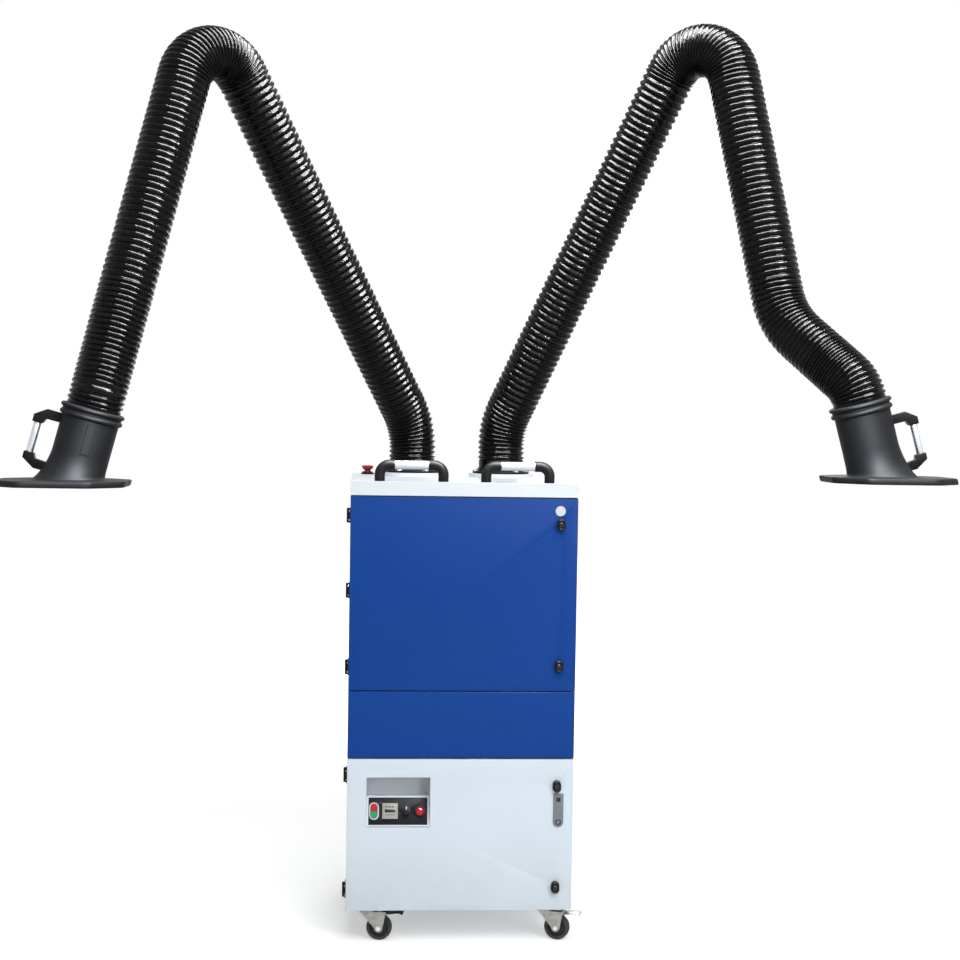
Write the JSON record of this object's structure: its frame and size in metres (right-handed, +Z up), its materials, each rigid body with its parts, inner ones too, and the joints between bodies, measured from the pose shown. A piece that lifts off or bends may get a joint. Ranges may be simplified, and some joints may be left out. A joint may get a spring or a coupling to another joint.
{
  "type": "welding fume extractor",
  "caption": "Mobile welding fume extractor: a tall sheet-metal filter cabinet on castors with ribbed extraction arms, flanged hoods, doors, push handles and a control recess.",
  "frame": {"origin": "on the floor, under the middle of the cabinet", "axes": "+X to the operator's right at the doors, +Y from the doors to the back, +Z up"},
  "size_m": [2.6999, 1.3034, 2.8389],
  "materials": {
    "blue_paint": "blue powder coat",
    "white_paint": "bluish white powder coat",
    "black_enamel": "black enamel",
    "galvanised": "galvanised sheet",
    "zinc": "yellowish zinc plate",
    "steel": "mild steel",
    "aluminium": "brushed aluminium",
    "black_plastic": "moulded black plastic",
    "hood_plastic": "charcoal moulded plastic",
    "hose": "glossy black ribbed hose",
    "tyre": "black rubber tread",
    "filter_media": "pleated filter media",
    "motor_paint": "grey motor enamel",
    "red_plastic": "red button",
    "green_plastic": "green button",
    "lamp_red": "red lens",
    "meter": "black meter case"
  },
  "bodies": {
    "cabinet": {"cabinet_shell": "white_paint", "top_cover": "white_paint", "middle_panel": "blue_paint", "fan_deck": "galvanised", "filter_cartridge": "filter_media", "fan_housing": "galvanised", "fan_motor": "motor_paint", "cable_gland": "black_plastic", "handle_bends": "black_plastic", "handle_grips": "aluminium", "arm_base_flanges": "black_plastic", "cabinet_hinge_halves": "black_plastic", "castor_brackets": "zinc"},
    "upper_door": {"upper_door": "blue_paint", "upper_door_hinge_halves": "black_plastic"},
    "lower_door": {"lower_door": "white_paint", "lower_door_hinge_halves": "black_plastic", "control_pocket": "white_paint", "control_plate": "black_plastic", "hour_meter": "meter", "pilot_lamp": "lamp_red"},
    "impeller": {"impeller": "galvanised"},
    "estop_button": {"estop_button": "red_plastic"},
    "start_button": {"start_button": "green_plastic"},
    "stop_button": {"stop_button": "red_plastic"},
    "selector_knob": {"selector_knob": "black_plastic"},
    "upper_door_bottom_latch": {"upper_door_bottom_latch": "black_plastic"},
    "upper_door_top_latch": {"upper_door_top_latch": "black_plastic"},
    "lower_door_bottom_latch": {"lower_door_bottom_latch": "black_plastic"},
    "lower_door_top_latch": {"lower_door_top_latch": "black_plastic"},
    "front_left_castor": {"front_left_fork": "zinc"},
    "front_left_wheel": {"front_left_wheel": "tyre"},
    "front_left_pedal": {"front_left_pedal": "black_plastic"},
    "front_right_castor": {"front_right_fork": "zinc"},
    "front_right_wheel": {"front_right_wheel": "tyre"},
    "front_right_pedal": {"front_right_pedal": "zinc"},
    "rear_left_wheel": {"rear_left_wheel": "tyre"},
    "rear_right_wheel": {"rear_right_wheel": "tyre"},
    "left_swivel": {"left_swivel_collar": "black_enamel", "left_base_hose": "hose"},
    "left_lower_arm": {"left_lower_link": "steel", "left_lower_hose": "hose", "left_elbow_hose": "hose"},
    "left_upper_arm": {"left_upper_link": "steel", "left_upper_hose": "hose", "left_wrist_hose": "hose"},
    "left_neck": {"left_neck_link": "steel"},
    "left_hood": {"left_hood": "hood_plastic", "left_hood_handle": "black_plastic"},
    "right_swivel": {"right_swivel_collar": "black_enamel", "right_base_hose": "hose"},
    "right_lower_arm": {"right_lower_link": "steel", "right_lower_hose": "hose", "right_elbow_hose": "hose"},
    "right_upper_arm": {"right_upper_link": "steel", "right_upper_hose": "hose", "right_wrist_hose": "hose"},
    "right_neck": {"right_neck_link": "steel"},
    "right_hood": {"right_hood": "hood_plastic", "right_hood_handle": "black_plastic"}
  },
  "joints": [
    {"name": "upper_door_hinge", "type": "hinge", "parent": "cabinet", "child": "upper_door", "pos_m": [-0.356, -0.32975, 1.0905], "axis": [0, 0, -1], "range_deg": [0, 110]},
    {"name": "lower_door_hinge", "type": "hinge", "parent": "cabinet", "child": "lower_door", "pos_m": [-0.356, -0.32975, 0.3445], "axis": [0, 0, -1], "range_deg": [0, 110]},
    {"name": "upper_door_bottom_latch_turn", "type": "hinge", "parent": "upper_door", "child": "upper_door_bottom_latch", "pos_m": [0.298, -0.35, 0.87094], "axis": [0, 1, 0], "range_deg": [0, 90]},
    {"name": "upper_door_top_latch_turn", "type": "hinge", "parent": "upper_door", "child": "upper_door_top_latch", "pos_m": [0.298, -0.35, 1.30827], "axis": [0, 1, 0], "range_deg": [0, 90]},
    {"name": "lower_door_bottom_latch_turn", "type": "hinge", "parent": "lower_door", "child": "lower_door_bottom_latch", "pos_m": [0.298, -0.35, 0.18201], "axis": [0, 1, 0], "range_deg": [0, 90]},
    {"name": "lower_door_top_latch_turn", "type": "hinge", "parent": "lower_door", "child": "lower_door_top_latch", "pos_m": [0.298, -0.35, 0.4971], "axis": [0, 1, 0], "range_deg": [0, 90]},
    {"name": "estop_press", "type": "slide", "parent": "cabinet", "child": "estop_button", "axis": [0, 0, -1], "range_m": [0, 0.005], "stiffness_N_per_m": 800},
    {"name": "start_press", "type": "slide", "parent": "lower_door", "child": "start_button", "axis": [0, 0.9285, -0.3714], "range_m": [0, 0.003], "stiffness_N_per_m": 400},
    {"name": "stop_press", "type": "slide", "parent": "lower_door", "child": "stop_button", "axis": [0, 0.9285, -0.3714], "range_m": [0, 0.003], "stiffness_N_per_m": 400},
    {"name": "selector_turn", "type": "hinge", "parent": "lower_door", "child": "selector_knob", "pos_m": [-0.16634, -0.33036, 0.41374], "axis": [0, -0.9285, 0.3714], "range_deg": [-45, 45]},
    {"name": "fan_spin", "type": "hinge", "parent": "cabinet", "child": "impeller", "pos_m": [0, 0.02, 0.53], "axis": [0, 0, 1], "continuous": true},
    {"name": "front_left_swivel", "type": "hinge", "parent": "cabinet", "child": "front_left_castor", "pos_m": [-0.28, -0.28, 0.09], "axis": [0, 0, 1], "continuous": true},
    {"name": "front_left_roll", "type": "hinge", "parent": "front_left_castor", "child": "front_left_wheel", "pos_m": [-0.24455, -0.28625, 0.04], "axis": [0.1736, 0.9848, 0], "continuous": true},
    {"name": "front_left_brake", "type": "hinge", "parent": "front_left_castor", "child": "front_left_pedal", "pos_m": [-0.22682, -0.28938, 0.0866], "axis": [0.1736, 0.9848, 0], "range_deg": [0, 12]},
    {"name": "front_right_swivel", "type": "hinge", "parent": "cabinet", "child": "front_right_castor", "pos_m": [0.28, -0.28, 0.09], "axis": [0, 0, 1], "continuous": true},
    {"name": "front_right_roll", "type": "hinge", "parent": "front_right_castor", "child": "front_right_wheel", "pos_m": [0.31338, -0.29349, 0.04], "axis": [0.3746, 0.9272, 0], "continuous": true},
    {"name": "front_right_brake", "type": "hinge", "parent": "front_right_castor", "child": "front_right_pedal", "pos_m": [0.33007, -0.30023, 0.0866], "axis": [0.3746, 0.9272, 0], "range_deg": [0, 12]},
    {"name": "rear_left_roll", "type": "hinge", "parent": "cabinet", "child": "rear_left_wheel", "pos_m": [-0.28, 0.28, 0.04], "axis": [0, 1, 0], "continuous": true},
    {"name": "rear_right_roll", "type": "hinge", "parent": "cabinet", "child": "rear_right_wheel", "pos_m": [0.28, 0.28, 0.04], "axis": [0, 1, 0], "continuous": true},
    {"name": "left_arm_swivel", "type": "hinge", "parent": "cabinet", "child": "left_swivel", "pos_m": [-0.15, 0.16, 1.46], "axis": [0, 0, -1], "range_deg": [-35, 115]},
    {"name": "left_shoulder", "type": "hinge", "parent": "left_swivel", "child": "left_lower_arm", "pos_m": [-0.15, 0.16, 1.605], "axis": [0.7071, -0.7071, 0], "range_deg": [-25, 35], "deforming": ["left_base_hose"]},
    {"name": "left_elbow", "type": "hinge", "parent": "left_lower_arm", "child": "left_upper_arm", "pos_m": [-0.77962, -0.46962, 2.7367], "axis": [-0.7071, 0.7071, 0], "range_deg": [-10, 75], "deforming": ["left_elbow_hose"]},
    {"name": "left_wrist", "type": "hinge", "parent": "left_upper_arm", "child": "left_neck", "pos_m": [-1.00604, -0.69604, 1.87956], "axis": [-0.7071, 0.7071, 0], "range_deg": [-30, 30], "deforming": ["left_wrist_hose"]},
    {"name": "left_hood_tilt", "type": "hinge", "parent": "left_neck", "child": "left_hood", "pos_m": [-1.04814, -0.73814, 1.69072], "axis": [-0.7071, 0.7071, 0], "range_deg": [-30, 30], "deforming": ["left_wrist_hose"]},
    {"name": "right_arm_swivel", "type": "hinge", "parent": "cabinet", "child": "right_swivel", "pos_m": [0.15, 0.16, 1.46], "axis": [0, 0, 1], "range_deg": [-35, 115]},
    {"name": "right_shoulder", "type": "hinge", "parent": "right_swivel", "child": "right_lower_arm", "pos_m": [0.15, 0.16, 1.605], "axis": [0.7071, 0.7071, 0], "range_deg": [-25, 35], "deforming": ["right_base_hose"]},
    {"name": "right_elbow", "type": "hinge", "parent": "right_lower_arm", "child": "right_upper_arm", "pos_m": [0.7128, -0.4028, 2.80504], "axis": [-0.7071, -0.7071, 0], "range_deg": [-10, 75], "deforming": ["right_elbow_hose"]},
    {"name": "right_wrist", "type": "hinge", "parent": "right_upper_arm", "child": "right_neck", "pos_m": [0.91066, -0.60066, 1.93388], "axis": [-0.7071, -0.7071, 0], "range_deg": [-30, 30], "deforming": ["right_wrist_hose"]},
    {"name": "right_hood_tilt", "type": "hinge", "parent": "right_neck", "child": "right_hood", "pos_m": [1.08236, -0.77236, 1.74279], "axis": [-0.7071, -0.7071, 0], "range_deg": [-30, 30], "deforming": ["right_wrist_hose"]}
  ]
}
